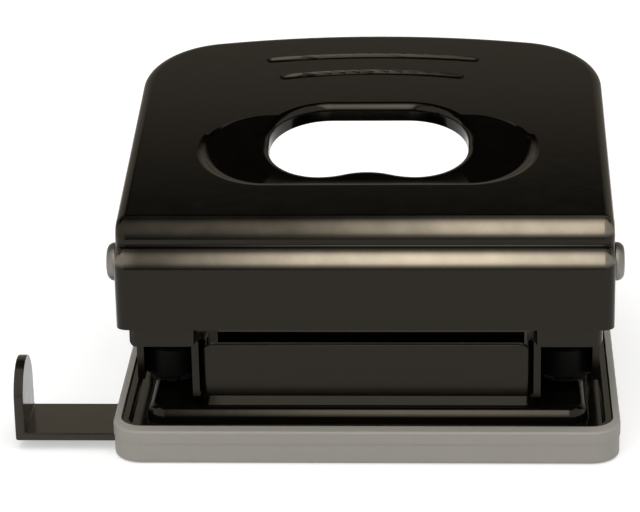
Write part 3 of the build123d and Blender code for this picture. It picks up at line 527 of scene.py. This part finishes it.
def round_dish(mesh):
    """Round the two bends of the dish's side wall, where it is deep enough for it."""
    bends = []
    for line in mesh.edges:
        across, along, depth = on_face(line)
        in_dish = (across < DISH_HALF_WIDTH and DISH_FRONT < along < DISH_REAR
                   and DISH_TOP < depth < DISH_BOTTOM)
        by_hole = across < HOLE_HALF_WIDTH and along > HOLE_FRONT
        if in_dish and not by_hole and line.calc_face_angle(0) > SHARP:
            bends.append(line)
    print("dish bends", len(bends), "edges")
    bmesh.ops.bevel(mesh, geom=bends, offset=DISH_BEND, offset_type="OFFSET",
                    segments=DISH_SEGMENTS, profile=0.5, affect="EDGES",
                    clamp_overlap=False, material=-1)


def in_grip(line):
    """True for edges of the two shallow grip grooves, which stay as they are."""
    across, along, depth = on_face(line)
    return across < GRIP_HALF_WIDTH and GRIP_FRONT < along < GRIP_REAR and depth < GRIP_DEPTH


lever = softened("lever_shell", LEVER_EDGE, before=round_dish, flat=FACE_UP, spare=in_grip)
print("lever_shell", len(lever.data.polygons), "faces before its bevel")

# %% [markdown]
# ## Return springs
#
# A spring gets shorter when the lever is pressed. Each spring here gets a merged, smooth-shaded
# copy with a mesh of its own.

# %% Springs
for side in ("left", "right"):
    name = f"return_spring_{side}"
    spring = softened(name, edge=0)
    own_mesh(spring)

# %% [markdown]
# ## White table
#
# The machine stands on a plain white table. Rays that see the table or the room directly, or
# by way of gloss or smoky plastic, find them white, and all other rays find the plain level
# of light that falls on the machine. The table still takes the machine's shadow.

# %% Floor
FLOOR_HALF, FLOOR_DROP = 6.0, 0.0001
FLOOR_LIFT = 0.45


def stage_mesh(name, mesh, finish):
    """Put a bmesh on the stage."""
    data = bpy.data.meshes.new(name)
    mesh.to_mesh(data)
    mesh.free()
    data.materials.append(finish)
    thing = bpy.data.objects.new(name, data)
    bpy.context.scene.collection.objects.link(thing)
    return thing


def seen_directly(tree):
    """1 for camera, glossy and transmission rays, 0 for the rest."""
    path = tree.nodes.new("ShaderNodeLightPath")
    total = combine(tree, "MAXIMUM", path.outputs["Is Camera Ray"], path.outputs["Is Glossy Ray"])
    return combine(tree, "MAXIMUM", total, path.outputs["Is Transmission Ray"])


floor_finish, tree, shader, place = start_finish("white_table", (0.8, 0.8, 0.8), 0.9)
shader.inputs["Specular IOR Level"].default_value = 0.0
shader.inputs["Emission Color"].default_value = (1, 1, 1, 1)
tree.links.new(combine(tree, "MULTIPLY", seen_directly(tree), FLOOR_LIFT),
               shader.inputs["Emission Strength"])

mesh = bmesh.new()
bmesh.ops.create_grid(mesh, x_segments=1, y_segments=1, size=FLOOR_HALF)
bmesh.ops.translate(mesh, verts=mesh.verts, vec=(0, 0, -FLOOR_DROP))
stage_mesh("floor", mesh, floor_finish)
print("floor", 2 * FLOOR_HALF, "m wide")

# %% Room light
ROOM_LEVEL, ROOM_SEEN = 0.45, 1.0

world = bpy.data.worlds.new("room")
bpy.context.scene.world = world
world.use_nodes = True
tree = world.node_tree
background = tree.nodes["Background"]
strength = tree.nodes.new("ShaderNodeMapRange")
strength.inputs["To Min"].default_value = ROOM_LEVEL
strength.inputs["To Max"].default_value = ROOM_SEEN
tree.links.new(seen_directly(tree), strength.inputs["Value"])
tree.links.new(strength.outputs["Result"], background.inputs["Strength"])
background.inputs["Color"].default_value = (1, 1, 1, 1)
print("room light", ROOM_LEVEL, "on the machine,", ROOM_SEEN, "where it is seen")

# %% [markdown]
# ## Dark card
#
# The lever's face leans back and would mirror the white room. A studio puts a dark card
# there. This one leans over the machine and is seen only in reflections. It is paler low
# down, so the face gets lighter towards its rear edge, as in the photograph.

# %% Dark card
CARD_FADE = (0.235, 0.33)             # height where the card goes from pale to dark
CARD_PALE, CARD_DARK = 0.41, 0.01
CARD_HALF_WIDTH = 0.8
CARD_PROFILE = ((0.27, 0.0), (0.27, 0.45), (0.05, 0.62))     # y and z, from the floor up


def glowing(name, colour):
    """A material that only gives light: it, its tree, its glow and Object coordinates."""
    finish = bpy.data.materials.new(name)
    finish.use_nodes = True
    tree = finish.node_tree
    tree.nodes.remove(tree.nodes["Principled BSDF"])
    glow = tree.nodes.new("ShaderNodeEmission")
    glow.inputs["Color"].default_value = (*colour, 1)
    tree.links.new(glow.outputs[0], tree.nodes["Material Output"].inputs["Surface"])
    return finish, tree, glow, tree.nodes.new("ShaderNodeTexCoord").outputs["Object"]


def only_reflected(thing):
    """Hide a stage piece from all but glossy rays."""
    thing.visible_camera = thing.visible_diffuse = False
    thing.visible_shadow = thing.visible_transmission = False


card_finish, tree, glow, place = glowing("dark_card", (1, 0.90, 0.74))
height = apart(tree, place)[2]
tree.links.new(smooth_step(tree, height, *CARD_FADE, CARD_PALE, CARD_DARK),
               glow.inputs["Strength"])

mesh = bmesh.new()
corners = [mesh.verts.new((-CARD_HALF_WIDTH, y, z)) for y, z in CARD_PROFILE]
sides = [mesh.edges.new(pair) for pair in zip(corners, corners[1:])]
swept = bmesh.ops.extrude_edge_only(mesh, edges=sides)["geom"]
moved = [part for part in swept if isinstance(part, bmesh.types.BMVert)]
bmesh.ops.translate(mesh, verts=moved, vec=(2 * CARD_HALF_WIDTH, 0, 0))
card = stage_mesh("dark_card", mesh, card_finish)
only_reflected(card)
print("dark card", 2 * CARD_HALF_WIDTH, "m wide, in", len(card.data.polygons), "faces")

# %% [markdown]
# ## Soft lamps
#
# Two wide, weak lamps fill in the front and the top. They are kept out of reflections, so
# that they leave no square highlights on the enamel.

# %% Lamps
LAMP_COLOUR = (1, 0.98, 0.95)
LAMP_TARGET = Vector((0, 0, 0.02))


def lamp(name, place, size, power):
    """Soft square lamp at a place, facing the machine."""
    data = bpy.data.lights.new(name, "AREA")
    data.shape = "RECTANGLE"
    data.size = data.size_y = size
    data.energy = power
    data.color = LAMP_COLOUR
    thing = bpy.data.objects.new(name, data)
    thing.location = place
    thing.rotation_euler = (LAMP_TARGET - Vector(place)).to_track_quat("-Z", "Y").to_euler()
    bpy.context.scene.collection.objects.link(thing)
    thing.visible_camera = thing.visible_glossy = False
    print(name, power, "W")


lamp("front_fill", (-0.3, -1.2, 0.9), size=0.8, power=3.0)
lamp("top_fill", (0, -0.1, 0.9), size=0.9, power=4.0)

# %% [markdown]
# ## Arch of light
#
# The long highlights on the ridges come from one tall, narrow soft light that arches from
# the front to overhead, right of the middle. A short edge spun round the machine makes the
# arch, and masks let its glow fade at the sides and at both ends. Like the card, it is seen
# only in reflections.

# %% Arch
ARCH_CENTRE = Vector((0.0, -0.03, 0.04))
ARCH_RADIUS = 0.42
ARCH_SIDES = (-0.11, 0.09)
ARCH_START, ARCH_END, ARCH_STEPS = math.radians(-5), math.radians(120), 25
ARCH_GLOW = 5.0
CLIMB_FADES = [math.radians(angle) for angle in (-15, 48, 62, 112)]
SIDE_FADES = (-0.095, -0.012, 0.055, 0.085)

arch_finish, tree, glow, place = glowing("arch_light", (1, 0.95, 0.86))
across, back, up = apart(tree, place)
angle = combine(tree, "ARCTAN2", up, combine(tree, "MULTIPLY", back, -1.0))
lit = combine(tree, "MULTIPLY", band(tree, angle, *CLIMB_FADES),
              band(tree, across, *SIDE_FADES))
tree.links.new(combine(tree, "MULTIPLY", lit, ARCH_GLOW), glow.inputs["Strength"])

mesh = bmesh.new()
ends = [mesh.verts.new((x, -ARCH_RADIUS, 0)) for x in ARCH_SIDES]
rib = mesh.edges.new(ends)
bmesh.ops.rotate(mesh, verts=ends, matrix=Matrix.Rotation(ARCH_START, 3, (-1, 0, 0)))
bmesh.ops.spin(mesh, geom=ends + [rib], axis=(-1, 0, 0), angle=ARCH_END - ARCH_START,
               steps=ARCH_STEPS)
arch = stage_mesh("arch_light", mesh, arch_finish)
arch.location = ARCH_CENTRE
only_reflected(arch)
print("arch of light in", len(arch.data.polygons), "faces")
